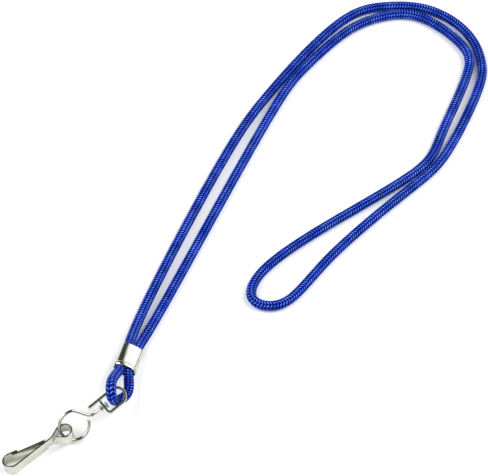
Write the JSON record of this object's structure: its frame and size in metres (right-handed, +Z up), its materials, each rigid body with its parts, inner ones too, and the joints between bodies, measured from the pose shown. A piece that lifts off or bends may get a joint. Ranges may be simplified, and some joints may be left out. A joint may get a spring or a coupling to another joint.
{
  "type": "lanyard badge holder",
  "caption": "Round braided neck lanyard whose loop gathers in a crimped sleeve above a folded bail, a swivelling wire ring hook and a flat spring snap hook, laid on a table.",
  "frame": {"origin": "on the table, below the middle of the metal hardware's bounding box", "axes": "+X from the snap hook towards the neck loop, +Y to the upper side of the neck loop, +Z up from the table that the lanyard lies on"},
  "size_m": [0.3076, 0.1166, 0.0198],
  "materials": {
    "cord": "glossy braided nylon, royal blue",
    "nickel": "nickel plated steel, bright with soft drawing marks"
  },
  "bodies": {
    "lanyard": {"lanyard_cord": "cord", "ferrule": "nickel"},
    "bail": {"swivel_bail": "nickel"},
    "ring": {"wire_hook": "nickel"},
    "hook": {"snap_hook": "nickel"},
    "gate": {"snap_hook_gate": "nickel"}
  },
  "joints": [
    {"name": "bail_swing", "type": "hinge", "parent": "lanyard", "child": "bail", "pos_m": [0.01368, -0.00885, 0.01105], "axis": [-0.241, -0.3112, 0.9193], "range_deg": [-30, 5]},
    {"name": "wire_swivel", "type": "hinge", "parent": "bail", "child": "ring", "pos_m": [-0.0057, -0.00788, 0.0063], "axis": [0.9705, -0.0708, 0.2305], "continuous": true},
    {"name": "hook_swing", "type": "hinge", "parent": "ring", "child": "hook", "pos_m": [-0.01207, -0.0068, 0.00549], "axis": [0.0905, -0.6687, -0.738], "range_deg": [-15, 45]},
    {"name": "gate_flex", "type": "hinge", "parent": "hook", "child": "gate", "pos_m": [-0.01978, -0.0065, 0.00209], "axis": [-0.061, 0.1807, 0.9816], "range_deg": [0, 12], "stiffness_Nm_per_rad": 0.3, "springref_deg": -5.73}
  ]
}
